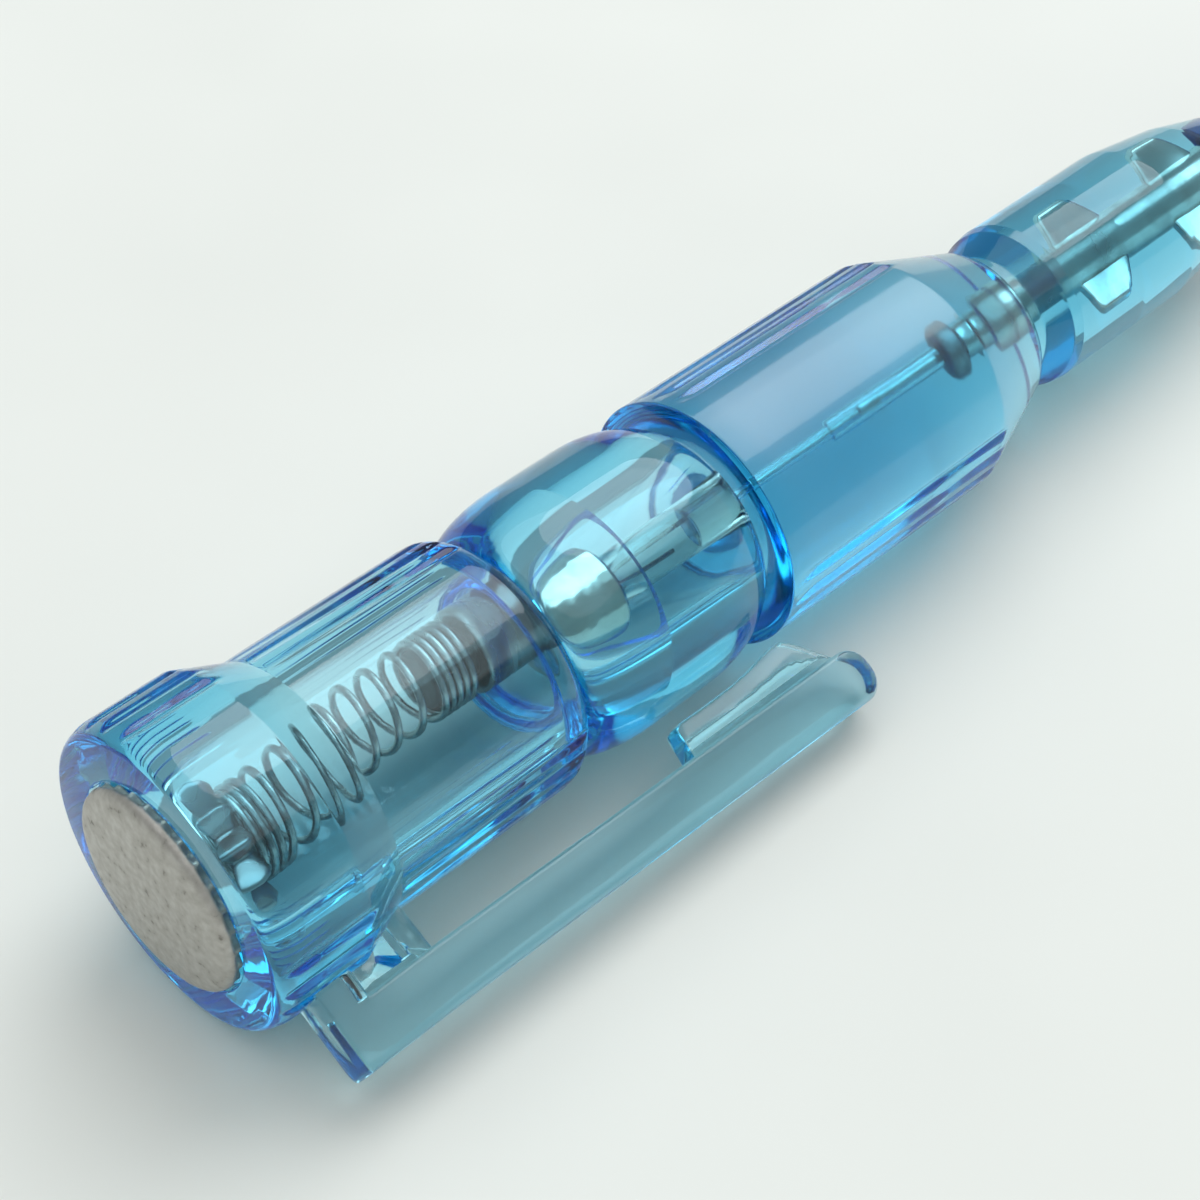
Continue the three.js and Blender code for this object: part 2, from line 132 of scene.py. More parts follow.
flute_count = 32
flute_pitch = 360 / flute_count
flute_depth = 0.2
flute_half = 0.33 * flute_pitch
clip_side_sector = 39
far_side_sector = 50
front_flute_x = 35.6
front_flute_run_in = 1.2
run_in_margin = 0.2
round_margin = 0.1
flute_ring_gap = 0.4
columns_per_flute = 12


# A list of (x, radius, fillet) corners becomes a profile with each corner rounded. A short margin
# on both sides of a round keeps its shading from spreading along the straight
def filleted(corners):
    steps = 4
    margin = 0.12
    most_of_side = 0.45
    points = []
    for i, (x, r, fillet) in enumerate(corners):
        here = Vector((x, r))
        if fillet == 0:
            points.append(here)
            continue
        back = Vector(corners[i - 1][:2]) - here
        ahead = Vector(corners[i + 1][:2]) - here
        reach = fillet / math.tan(back.angle(ahead) / 2)
        reach = min(reach, back.length * most_of_side, ahead.length * most_of_side)
        back.normalize()
        ahead.normalize()
        lead = min(margin, reach)
        start = here + back * reach
        end = here + ahead * reach
        points.append(start + back * lead)
        for k in range(steps + 1):
            t = k / steps
            points.append(start * (1 - t) ** 2 + here * 2 * t * (1 - t) + end * t * t)
        points.append(end + ahead * lead)
    return [(p.x, p.y) for p in points]


# A quarter ellipse that leaves (x0, r0) square to the axis and arrives at (x1, r1) along it
def rising_round(x0, r0, x1, r1, steps):
    turns = [math.pi / 2 * i / steps for i in range(steps + 1)]
    return [(x0 + (x1 - x0) * (1 - math.cos(t)), r0 + (r1 - r0) * math.sin(t)) for t in turns]


def falling_round(x0, r0, x1, r1, steps):
    return [(-x, r) for x, r in reversed(rising_round(-x1, r1, -x0, r0, steps))]


# A closed piece from points in the pen's frame. Points that fall together are joined
def pen_object(name, points, faces):
    mesh = bpy.data.meshes.new(name)
    mesh.from_pydata([pen @ Vector(p) for p in points], [], faces)
    shape = bmesh.new()
    shape.from_mesh(mesh)
    bmesh.ops.remove_doubles(shape, verts=shape.verts, dist=0.001 * mm)
    bmesh.ops.recalc_face_normals(shape, faces=shape.faces)
    shape.to_mesh(mesh)
    shape.free()
    mesh.polygons.foreach_set("use_smooth", [True] * len(mesh.polygons))
    piece = bpy.data.objects.new(name, mesh)
    bpy.context.scene.collection.objects.link(piece)
    return piece


# Rings of points about the axis, joined in order. A ring is (x, radius), and its radius can be a
# function of the angle from Z. A ring of no radius is a single point
def revolved(name, rings, columns, closed=False):
    points = []
    starts = []
    for x, radius in rings:
        starts.append(len(points))
        if radius == 0:
            points.append((x, 0, 0))
            continue
        for j in range(columns):
            angle = 2 * math.pi * j / columns
            r = radius(angle) if callable(radius) else radius
            points.append((x, r * math.sin(angle), r * math.cos(angle)))
    faces = []
    pairs = list(zip(range(len(rings)), range(1, len(rings))))
    if closed:
        pairs.append((len(rings) - 1, 0))
    for a, b in pairs:
        for j in range(columns):
            k = (j + 1) % columns
            corners = [starts[a]] if rings[a][1] == 0 else [starts[a] + j, starts[a] + k]
            corners += [starts[b]] if rings[b][1] == 0 else [starts[b] + k, starts[b] + j]
            faces.append(corners)
    return pen_object(name, points, faces)


# How far the flutes cut in at an angle from the clip, from 0 on a land to 1 at a bottom
def flute(angle):
    from_clip = (math.degrees(angle) + 180) % 360 - 180
    nearest = round(from_clip / flute_pitch) * flute_pitch
    away = abs(from_clip - nearest)
    if away > flute_half or clip_side_sector < abs(nearest) < 180 - far_side_sector:
        return 0
    return math.cos(math.pi / 2 * away / flute_half) ** 2


# A stretch of rings cut by flutes. Where it slopes its rings are kept close, since the flutes run
# out where the surface falls below them. After the start they deepen from nothing over a run-in
def fluted(points, crest, start=0.0, run_in=0.01):
    close = [points[0]]
    for (x0, r0), (x1, r1) in zip(points, points[1:]):
        straight = abs(r1 - r0) < 1e-4
        count = 1 if straight else math.ceil(math.hypot(x1 - x0, r1 - r0) / flute_ring_gap)
        for k in range(1, count + 1):
            close.append((x0 + (x1 - x0) * k / count, r0 + (r1 - r0) * k / count))

    def ring(x, r):
        depth = flute_depth * min(max((x - start) / run_in, 0), 1)
        return x, lambda angle: min(r, crest - depth * flute(angle))

    return [ring(x, r) for x, r in close]


bore_rings = filleted([
    (lead_hole_end_x, 0, 0),
    (lead_hole_end_x, crimp_hole_r, hole_edge),
    (crimp_hole_x, crimp_hole_r, hole_edge),
    (crimp_hole_x - crimp_hole_lead_in, lead_hole_r, hole_edge),
    (lamp_bore_end_x, lead_hole_r, hole_edge),
    (lamp_bore_end_x, lamp_bore_r, step_round),
    (stack_bore_end_x, lamp_bore_r, pin_edge),
    (stack_bore_end_x, stack_bore_r, pin_edge),
    (spring_bore_end_x, stack_bore_r, bore_edge),
    (spring_bore_end_x, spring_bore_r, step_round),
    (cap_seat_x, spring_bore_r, bore_edge),
    (cap_seat_x, cap_bore_r, bore_edge),
    (rim_x, cap_bore_r, rim_edge),
    (rim_x, rim_r, 0),
])
collar_rings = rising_round(rim_x, rim_r, collar_top_x, collar_r, 8)
collar_rings += filleted([
    (collar_top_x, collar_r, 0),
    (collar_edge_x, collar_r, collar_edge_round),
    (collar_foot_x, rear_grip_r, collar_foot_round),
    (rear_grip_start_x, rear_grip_r, 0),
])[1:]
round_start_x = rear_grip_end_x - rear_grip_round
rear_grip_rings = [(rear_grip_start_x, rear_grip_r), (round_start_x - round_margin, rear_grip_r)]
rear_grip_rings += falling_round(
    round_start_x, rear_grip_r, rear_grip_end_x, rear_grip_r - rear_grip_round, 8,
)
bead_rings = [(rear_grip_end_x, waist_r)]
bead_rings += rising_round(
    rear_grip_end_x + waist_soft, waist_r - waist_soft, bead_rise_end_x, bead_r, 12,
)
bead_rings += falling_round(bead_fall_start_x, bead_r, front_grip_x, front_neck_r, 14)
run_in_end_x = front_flute_x + front_flute_run_in
front_grip_rings = filleted([
    (front_grip_x, front_neck_r, 0),
    (front_grip_x, front_grip_r, bore_edge),
    (front_flute_x, front_grip_r, 0),
    (run_in_end_x, front_grip_r, 0),
    (run_in_end_x + run_in_margin, front_grip_r, 0),
    (taper_start_x, front_grip_r, taper_round),
    (taper_end_x, nose_r, 0),
])[1:]
nose_rings = filleted([
    (taper_end_x, nose_r, 0),
    (taper_end_x, groove_r, groove_round),
    (groove_end_x, groove_r, groove_end_round),
    (nose_rise_x, nose_rise_r, step_round),
    (nose_start_x, nose_r, step_round),
    (nose_round_x, nose_r, nose_round),
    (nose_slope_x, nose_slope_r, nose_slope_round),
    (nose_tip_x, nose_tip_r, nose_tip_round),
    (nose_tip_x, 0, 0),
])[1:]
handle_rings = bore_rings[:-1]
handle_rings += fluted(collar_rings, collar_r)
handle_rings += fluted(rear_grip_rings, rear_grip_r)[1:]
handle_rings += bead_rings
handle_rings += fluted(front_grip_rings, front_grip_r, front_flute_x, front_flute_run_in)
handle_rings += nose_rings
handle = revolved("handle_moulding", handle_rings, flute_count * columns_per_flute)


def linear(hex_colour):
    channels = [int(hex_colour[i:i + 2], 16) / 255 for i in (1, 3, 5)]
    bright = [c / 12.92 if c <= 0.04045 else ((c + 0.055) / 1.055) ** 2.4 for c in channels]
    return (*bright, 1.0)


def new_material(name):
    material = bpy.data.materials.new(name)
    material.use_nodes = True
    material.node_tree.nodes.clear()
    return material, material.node_tree


# Adds a node with its settings and links, and with (place, hex colour) stops where it has a ramp
def add_node(tree, kind, settings=None, links=None, stops=None):
    node = tree.nodes.new(kind)
    for name, value in (settings or {}).items():
        if name in node.inputs:
            node.inputs[name].default_value = value
        else:
            setattr(node, name, value)
    for name, source in (links or {}).items():
        tree.links.new(source, node.inputs[name])
    if stops:
        elements = node.color_ramp.elements
        while len(elements) < len(stops):
            elements.new(0.5)
        for element, (place, colour) in zip(elements, stops):
            element.position = place
            element.color = linear(colour)
    return node


# Cellulose acetate, polished by the mould: clear, with its tint in the depth, so that thick edges
# are deep blue. Draw lines about 1.6 mm apart run along it. The hand has rubbed the front grip,
# in patches about 6 mm across, so a pale sheen lies on it.
draw_line_gap = 1.6
draw_line_stretch = (0.12, 1, 1)
rub_size = 6.0
rub_start_x = 34.6
rub_end_x = 58.6

clear_blue, tree = new_material("clear blue moulded acetate")
place = add_node(tree, "ShaderNodeTexCoord")
lengthwise = add_node(
    tree, "ShaderNodeMapping", {"Scale": draw_line_stretch}, {"Vector": place.outputs["Object"]},
)
draw_lines = add_node(
    tree, "ShaderNodeTexNoise",
    {"Scale": 1 / (draw_line_gap * mm), "Detail": 2.0},
    {"Vector": lengthwise.outputs["Vector"]},
)
bump = add_node(
    tree, "ShaderNodeBump",
    {"Strength": 0.1, "Distance": 0.2 * mm},
    {"Height": draw_lines.outputs["Fac"]},
)
patches = add_node(
    tree, "ShaderNodeTexNoise",
    {"Scale": 1 / (rub_size * mm), "Detail": 2.0},
    {"Vector": place.outputs["Object"]},
)
tone = add_node(
    tree, "ShaderNodeValToRGB", None, {"Fac": patches.outputs["Fac"]},
    [(0.3, "#FAFDFC"), (0.7, "#FEFFFF")],
)
along = add_node(tree, "ShaderNodeSeparateXYZ", None, {"Vector": place.outputs["Object"]})
reach = add_node(
    tree, "ShaderNodeMapRange",
    {"From Min": (pen @ Vector((rub_start_x, 0, 0))).x, "From Max": (pen @ Vector((rub_end_x, 0, 0))).x},
    {"Value": along.outputs["X"]},
)
held = add_node(
    tree, "ShaderNodeValToRGB", None, {"Fac": reach.outputs["Result"]},
    [(0.0, "#000000"), (0.1, "#FFFFFF"), (0.9, "#FFFFFF"), (1.0, "#000000")],
)
rubs = add_node(
    tree, "ShaderNodeMapRange",
    {"From Min": 0.3, "From Max": 0.7, "To Min": 0.8, "To Max": 1.0},
    {"Value": patches.outputs["Fac"]},
)
worn = add_node(
    tree, "ShaderNodeMath", {"operation": "MULTIPLY"},
    {0: held.outputs["Color"], 1: rubs.outputs["Result"]},
)
shine = add_node(
    tree, "ShaderNodeMapRange", {"To Min": 0.045, "To Max": 0.11}, {"Value": worn.outputs["Value"]},
)
surface = add_node(
    tree, "ShaderNodeBsdfPrincipled",
    {"Transmission Weight": 1.0, "IOR": 1.5, "Coat Roughness": 0.38},
    {
        "Base Color": tone.outputs["Color"],
        "Roughness": shine.outputs["Result"],
        "Coat Weight": worn.outputs["Value"],
        "Normal": bump.outputs["Normal"],
    },
)
depth_tint = add_node(
    tree, "ShaderNodeVolumeAbsorption", {"Color": linear("#00E4FA"), "Density": 154.0},
)
add_node(
    tree, "ShaderNodeOutputMaterial", None,
    {"Surface": surface.outputs["BSDF"], "Volume": depth_tint.outputs["Volume"]},
)
handle.data.materials.append(clear_blue)
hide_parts("handle_body")
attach(handle, "handle")


# Pocket clip: a bar on a root that stands on the collar, moulded in one with the handle. A thin
# pad near its free end grips the pocket's cloth against the bead. It bends just in front of its
# root.

clip_half = 1.5
clip_inner = 9.3
clip_outer = 12.2
clip_bend_x = 9.05
clip_end_x = 37.6
clip_lean = 0.5
clip_slope = clip_lean / (clip_end_x - clip_bend_x)
clip_edge = 0.45
clip_lower_edge = 0.25
clip_foot_edge = 0.2
bar_stem_half = 0.75
root_x = 3.0
root_round = 0.25
root_foot = 7.9
web_half = 0.7
front_wall_half = 1.35
pad_half = 0.72
clip_end_round = 1.3
clip_end_drop = 1.2
clip_end_inset = 0.35
arc_points = 6


# The section at one station: a bar, and below it a stem of its own width and foot radius
def clip_section(x, inset=0.0, trim=0.0, stem_half=bar_stem_half, stem_foot=None):
    rise = clip_slope * max(x - clip_bend_x, 0)
    inner = clip_inner + rise + trim
    outer = clip_outer + rise - trim
    half = clip_half - inset
    stem_half = min(stem_half, half)
    full_width = stem_half >= half - 0.01
    foot = inner if stem_foot is None else stem_foot
    edge = min(clip_edge, (outer - inner) * 0.45)
    lower_edge = 0.0 if full_width else min(clip_lower_edge, edge)
    foot_edge = min(clip_foot_edge, max(inner - foot, 0) * 0.4)
    right = []

    def corner(y, z, radius, start):
        for k in range(arc_points):
            turn = math.radians(start + 90 * k / (arc_points - 1))
            right.append((x, y - radius + radius * math.sin(turn), z + radius * math.cos(turn)))

    corner(half, outer - edge, edge, 0)
    corner(half, inner + lower_edge, lower_edge, 90)
    right.append((x, stem_half, inner))
    corner(stem_half, foot + foot_edge, foot_edge, 90)
    left = [(px, -py, pz) for px, py, pz in reversed(right)]
    return right + left


clip_stations = []
for step in (0.0, 0.08, root_round):
    inset = root_round - math.sqrt(max(root_round ** 2 - (root_round - step) ** 2, 0))
    clip_stations.append(clip_section(root_x + step, inset, inset, clip_half, root_foot))

# The root's rear wall, its thinner web over the collar's slope, and its front wall
root_walls = [
    (4.9, clip_half, root_foot), (5.05, 1.42, root_foot), (5.15, web_half, root_foot),
    (6.3, web_half, 7.85), (8.2, web_half, 7.05),
    (8.3, front_wall_half, 7.0), (8.8, front_wall_half, 6.85), (8.9, 1.3, 7.2),
]
for x, stem_half, foot in root_walls:
    clip_stations.append(clip_section(x, stem_half=stem_half, stem_foot=foot))
for x in (8.97, 12.0, 16.0, 20.0, 24.0, 26.3):
    clip_stations.append(clip_section(x))

# The pad's lower edge, with its shallow hollow and its bump near the free end
pad_edge = [
    (26.4, 8.6), (26.5, 8.0), (26.9, 7.82), (28.5, 7.86), (30.5, 7.85), (32.0, 7.74), (33.2, 7.55),
    (34.0, 7.46), (34.5, 7.52), (35.0, 7.95), (35.6, 8.7), (36.1, 9.4),
]
for x, foot in pad_edge:
    clip_stations.append(clip_section(x, stem_half=pad_half, stem_foot=foot))
end_steps = 6
for k in range(end_steps + 1):
    turn = math.pi / 2 * k / end_steps
    x = clip_end_x - clip_end_round + clip_end_round * math.sin(turn)
    fall = 1 - math.cos(turn)
    clip_stations.append(clip_section(x, clip_end_inset * fall, clip_end_drop * fall))

clip_points = [point for station in clip_stations for point in station]
count = len(clip_stations[0])
clip_faces = [list(range(count)), list(range(len(clip_points) - count, len(clip_points)))[::-1]]
for a in range(len(clip_stations) - 1):
    for j in range(count):
        k = (j + 1) % count
        clip_faces.append([a * count + k, a * count + j, (a + 1) * count + j, (a + 1) * count + k])
clip = pen_object("pocket_clip", clip_points, clip_faces)
clip.data.materials.append(clear_blue)
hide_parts("clip_root", "clip_arm")
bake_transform(clip)


# Blade: plated steel wire with a turned contact at its rear. It is pressed into wings where the
# nose is moulded round it, so it can't turn or pull out, and pressed flat at its tip.

contact_x = 52.4
contact_r = 1.0
contact_end_x = 53.85
neck_r = 0.62
neck_end_x = 54.95
rod_r = 0.95
rod_end_x = 59.0
blade_r = 0.85
wire_end_x = 128.5
tip_x = 140.0
tip_half = 1.5
tip_thick_half = 0.3
round_wire = 2.0
pressed = 8.0
wing_length = 5.0
wing_places = (64.1, 72.9)


# Closed runs of superellipse sections, each a list of (x, half size along Z, along Y, power)
def loft(name, runs, columns):
    points = []
    faces = []
    for stations in runs:
        first = len(points)
        for x, half_z, half_y, power in stations:
            for j in range(columns):
                angle = 2 * math.pi * j / columns
                c = math.cos(angle)
                s = math.sin(angle)
                z = half_z * math.copysign(abs(c) ** (2 / power), c)
                y = half_y * math.copysign(abs(s) ** (2 / power), s)
                points.append((x, y, z))
        last = len(points) - columns
        faces += [list(range(first, first + columns)), list(range(last, last + columns))[::-1]]
        for a in range(len(stations) - 1):
            row = first + a * columns
            for j in range(columns):
                k = (j + 1) % columns
                faces.append([row + k, row + j, row + columns + j, row + columns + k])
    return pen_object(name, points, faces)


# The contact is a drum with rounded edges, then come the neck and the rod, and the flat tip
round_stations = [
    (contact_x, 0.6), (contact_x + 0.05, 0.75), (contact_x + 0.15, 0.88), (contact_x + 0.35, 0.97),
    (contact_x + 0.6, contact_r), (contact_end_x - 0.25, contact_r), (contact_end_x - 0.1, 0.93),
    (contact_end_x, 0.75), (contact_end_x + 0.1, 0.64), (contact_end_x + 0.25, neck_r),
    (neck_end_x, neck_r), (neck_end_x + 0.07, 0.68), (neck_end_x + 0.13, 0.85),
    (neck_end_x + 0.3, rod_r), (rod_end_x, rod_r), (rod_end_x + 0.6, blade_r), (wire_end_x, blade_r),
]
tip_stations = [
    (wire_end_x + 1.5, 0.95, 0.78, 2.2), (wire_end_x + 4.0, 1.2, 0.55, 2.8),
    (tip_x - 4.5, 1.48, tip_thick_half, 5.0), (tip_x - 3.0, tip_half, tip_thick_half, 7.0),
    (tip_x - 0.1, tip_half, tip_thick_half, 7.0), (tip_x, tip_half - 0.05, tip_thick_half - 0.05, 7.0),
]
blade_runs = [[(x, r, r, round_wire) for x, r in round_stations] + tip_stations]
wing_edge = [(0.0, 0.45, 0.24), (0.5, 1.05, 0.3), (1.05, 1.85, 0.3), (1.4, 2.0, 0.28)]
for wing_x in wing_places:
    rear = [(wing_x + x, z, y, pressed) for x, z, y in wing_edge]
    front = [(wing_x + wing_length - x, z, y, pressed) for x, z, y in reversed(wing_edge)]
    blade_runs.append(rear + front)
blade = loft("flat_blade", blade_runs, 48)

# Nickel plated steel wire: a warm bright metal, greyer and duller in press marks about 1.8 mm wide
press_mark = 1.8

plated_wire, tree = new_material("nickel plated steel wire")
place = add_node(tree, "ShaderNodeTexCoord")
marks = add_node(
    tree, "ShaderNodeTexNoise",
    {"Scale": 1 / (press_mark * mm), "Detail": 3.0},
    {"Vector": place.outputs["Object"]},
)
tone = add_node(
    tree, "ShaderNodeValToRGB", None, {"Fac": marks.outputs["Fac"]},
    [(0.35, "#C6C4BF"), (0.5, "#DAD8D2"), (0.7, "#EAE8E3")],
)
shine = add_node(
    tree, "ShaderNodeMapRange",
    {"From Min": 0.3, "From Max": 0.7, "To Min": 0.28, "To Max": 0.16},
    {"Value": marks.outputs["Fac"]},
)
bump = add_node(
    tree, "ShaderNodeBump",
    {"Strength": 0.1, "Distance": 0.1 * mm},
    {"Height": marks.outputs["Fac"]},
)
surface = add_node(
    tree, "ShaderNodeBsdfPrincipled", {"Metallic": 1.0},
    {
        "Base Color": tone.outputs["Color"],
        "Roughness": shine.outputs["Result"],
        "Normal": bump.outputs["Normal"],
    },
)
add_node(tree, "ShaderNodeOutputMaterial", None, {"Surface": surface.outputs["BSDF"]})

# Heat scale on the contact: grey and dull, in mottles about 0.7 mm across
scale_mottle = 0.7

heat_scale, tree = new_material("dark heat scale")
place = add_node(tree, "ShaderNodeTexCoord")
mottle = add_node(
    tree, "ShaderNodeTexNoise",
    {"Scale": 1 / (scale_mottle * mm), "Detail": 3.0},
    {"Vector": place.outputs["Object"]},
)
tone = add_node(
    tree, "ShaderNodeValToRGB", None, {"Fac": mottle.outputs["Fac"]},
    [(0.3, "#8C9193"), (0.7, "#B0B5B6")],
)
surface = add_node(
    tree, "ShaderNodeBsdfPrincipled",
    {"Metallic": 1.0, "Roughness": 0.45},
    {"Base Color": tone.outputs["Color"]},
)
add_node(tree, "ShaderNodeOutputMaterial", None, {"Surface": surface.outputs["BSDF"]})

blade.data.materials.append(plated_wire)
blade.data.materials.append(heat_scale)
scale_end_x = contact_end_x - 0.05
for face in blade.data.polygons:
    face.material_index = int((from_pen @ face.center).x < scale_end_x)
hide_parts("blade")
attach(blade, "handle")


# Insulating sleeve: a soft blue tube on the bare blade, extruded from PVC, pushed on from the tip
# and seated in the nose.

sleeve_x = 79.0
sleeve_end_x = 127.5
sleeve_bore_r = 1.0
sleeve_r = 1.5
sleeve_rear_edge = 0.1
sleeve_front_edge = 0.15
sleeve = revolved("sleeve_tube", filleted([
    (sleeve_x, sleeve_bore_r, 0),
    (sleeve_x, sleeve_r, sleeve_rear_edge),
    (sleeve_end_x, sleeve_r, sleeve_front_edge),
    (sleeve_end_x, sleeve_bore_r, 0),
]), 48, closed=True)

# Extruded PVC: an even blue satin, with fine lines about 0.4 mm apart along its length
die_line_gap = 0.4
die_line_stretch = (0.05, 1, 1)

sleeve_blue, tree = new_material("extruded blue insulation")
place = add_node(tree, "ShaderNodeTexCoord")
lengthwise = add_node(
    tree, "ShaderNodeMapping", {"Scale": die_line_stretch}, {"Vector": place.outputs["Object"]},
)
die_lines = add_node(
    tree, "ShaderNodeTexNoise",
    {"Scale": 1 / (die_line_gap * mm), "Detail": 2.0},
    {"Vector": lengthwise.outputs["Vector"]},
)
tone = add_node(
    tree, "ShaderNodeValToRGB", None, {"Fac": die_lines.outputs["Fac"]},
    [(0.3, "#17529B"), (0.7, "#2A6CBC")],
)
bump = add_node(
    tree, "ShaderNodeBump",
    {"Strength": 0.15, "Distance": 0.1 * mm},
    {"Height": die_lines.outputs["Fac"]},
)
surface = add_node(
    tree, "ShaderNodeBsdfPrincipled", {"Roughness": 0.42},
    {"Base Color": tone.outputs["Color"], "Normal": bump.outputs["Normal"]},
)
add_node(tree, "ShaderNodeOutputMaterial", None, {"Surface": surface.outputs["BSDF"]})
sleeve.data.materials.append(sleeve_blue)
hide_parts("blade_sleeve")
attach(sleeve, "handle")


# Neon lamp: a drawn glass tube with a pressed metal cap on its rear end and a crimped wire lead at
# its front end. It slides in the bore, and the spring keeps its lead on the blade.

lamp_cap_x = 23.3
lamp_cap_floor = 1.0
lamp_cap_end_x = 27.3
lamp_cap_r = 2.8
lamp_cap_bevel = 0.2
lamp_cap_lip_r = 2.65
lamp_cap_bore_r = 1.5
lamp_cap_round = 0.15
lamp_cap_lip_edge = 0.08
lamp_cap_inner_edge = 0.1
glass_x = 24.45
glass_end_x = 35.25
glass_r = 1.4
glass_bore_r = 1.1
glass_edge = 0.1
lead_x = 35.4
lead_thin_r = 0.1
lead_r = 0.2
lead_end_x = 52.1
crimp_x = 45.9
crimp_end_x = 47.3
crimp_r = 0.28
crimp_slope = 0.1
crimp_round = 0.08
lead_thin_edge = 0.03
lead_foot_round = 0.05
lead_end_edge = 0.06

lamp_rear_cap = revolved("lamp_cap_rear", filleted([
    (lamp_cap_x, 0, 0),
    (lamp_cap_x, lamp_cap_r, lamp_cap_round),
    (lamp_cap_end_x - lamp_cap_bevel, lamp_cap_r, lamp_cap_inner_edge),
    (lamp_cap_end_x, lamp_cap_lip_r, lamp_cap_lip_edge),
    (lamp_cap_end_x, lamp_cap_bore_r, lamp_cap_lip_edge),
    (lamp_cap_x + lamp_cap_floor, lamp_cap_bore_r, lamp_cap_inner_edge),
    (lamp_cap_x + lamp_cap_floor, 0, 0),
]), 64)
lamp_glass = revolved("lamp_tube", filleted([
    (glass_x, glass_bore_r, 0),
    (glass_x, glass_r, glass_edge),
    (glass_end_x, glass_r, glass_edge),
    (glass_end_x, glass_bore_r, 0),
]), 56, closed=True)
lamp_front_lead = revolved("lamp_lead_front", filleted([
    (lead_x, 0, 0),
    (lead_x, lead_thin_r, lead_thin_edge),
    (crimp_x - crimp_slope, lead_thin_r, lead_thin_edge),
    (crimp_x, crimp_r, crimp_round),
    (crimp_end_x, crimp_r, crimp_round),
    (crimp_end_x + crimp_slope, lead_r, lead_foot_round),
    (lead_end_x, lead_r, lead_end_edge),
    (lead_end_x, 0, 0),
]), 24)

# Bright nickel plate on thin pressed metal: near a mirror, with dents about 1.6 mm across that
# break its reflections
dent_size = 1.6

bright_nickel, tree = new_material("bright nickel plate")
place = add_node(tree, "ShaderNodeTexCoord")
dents = add_node(
    tree, "ShaderNodeTexNoise",
    {"Scale": 1 / (dent_size * mm), "Detail": 2.0},
    {"Vector": place.outputs["Object"]},
)
tone = add_node(
    tree, "ShaderNodeValToRGB", None, {"Fac": dents.outputs["Fac"]},
    [(0.3, "#CFCDC4"), (0.7, "#EDEBE4")],
)
shine = add_node(
    tree, "ShaderNodeMapRange",
    {"From Min": 0.3, "From Max": 0.7, "To Min": 0.1, "To Max": 0.2},
    {"Value": dents.outputs["Fac"]},
)
bump = add_node(
    tree, "ShaderNodeBump",
    {"Strength": 0.35, "Distance": 0.3 * mm},
    {"Height": dents.outputs["Fac"]},
)
surface = add_node(
    tree, "ShaderNodeBsdfPrincipled", {"Metallic": 1.0},
    {
        "Base Color": tone.outputs["Color"],
        "Roughness": shine.outputs["Result"],
        "Normal": bump.outputs["Normal"],
    },
)
add_node(tree, "ShaderNodeOutputMaterial", None, {"Surface": surface.outputs["BSDF"]})

# Drawn soda glass: clear and colourless, with faint lines about 1 mm apart along the tube
glass_line_gap = 1.0
glass_line_stretch = (0.1, 1, 1)

lamp_clear, tree = new_material("drawn lamp glass")
place = add_node(tree, "ShaderNodeTexCoord")
lengthwise = add_node(
    tree, "ShaderNodeMapping", {"Scale": glass_line_stretch}, {"Vector": place.outputs["Object"]},
)
glass_lines = add_node(
    tree, "ShaderNodeTexNoise",
    {"Scale": 1 / (glass_line_gap * mm), "Detail": 1.0},
    {"Vector": lengthwise.outputs["Vector"]},
)
tone = add_node(
    tree, "ShaderNodeValToRGB", None, {"Fac": glass_lines.outputs["Fac"]},
    [(0.3, "#F6FAF8"), (0.7, "#FFFFFF")],
)
surface = add_node(
    tree, "ShaderNodeBsdfPrincipled",
    {"Transmission Weight": 1.0, "IOR": 1.5, "Roughness": 0.0},
    {"Base Color": tone.outputs["Color"]},
)
add_node(tree, "ShaderNodeOutputMaterial", None, {"Surface": surface.outputs["BSDF"]})

for piece, node_name, finish in (
    (lamp_rear_cap, "lamp_rear_cap", bright_nickel),
    (lamp_glass, "lamp_glass", lamp_clear),
    (lamp_front_lead, "lamp_front_lead", plated_wire),
):
    piece.data.materials.append(finish)
    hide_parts(node_name)
    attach(piece, "lamp_stack")


# Lamp's electrodes and seals: two plated wires side by side in the gas, one from each end. Each is
# held by a bead of glass that was fused into its end of the tube.

electrode_r = 0.12
electrode_z = 0.45
electrode_sides = 16
rear_electrode_span = (24.5, 31.95)
front_electrode_span = (27.95, 35.2)
seal_r = 1.03
seal_length = 2.0
seal_rear_round = 0.2
seal_front_round = 0.3


# A round wire along a line of points, with flat ends
def wire(name, line, radius, sides):
    line = [Vector(p) for p in line]
    ways = [(b - a).normalized() for a, b in zip(line, line[1:])]
    ways = [ways[0]] + [(a + b).normalized() for a, b in zip(ways, ways[1:])] + [ways[-1]]
    across = ways[0].orthogonal().normalized()
    points = []
    for centre, way in zip(line, ways):
        across = (across - way * across.dot(way)).normalized()
        beside = way.cross(across)
        for j in range(sides):
            angle = 2 * math.pi * j / sides
            points.append(centre + (across * math.cos(angle) + beside * math.sin(angle)) * radius)
    last = len(points) - sides
    faces = [list(range(sides))[::-1], list(range(last, last + sides))]
    for a in range(len(line) - 1):
        for j in range(sides):
            k = (j + 1) % sides
            faces.append([a * sides + j, a * sides + k, (a + 1) * sides + k, (a + 1) * sides + j])
    return pen_object(name, points, faces)


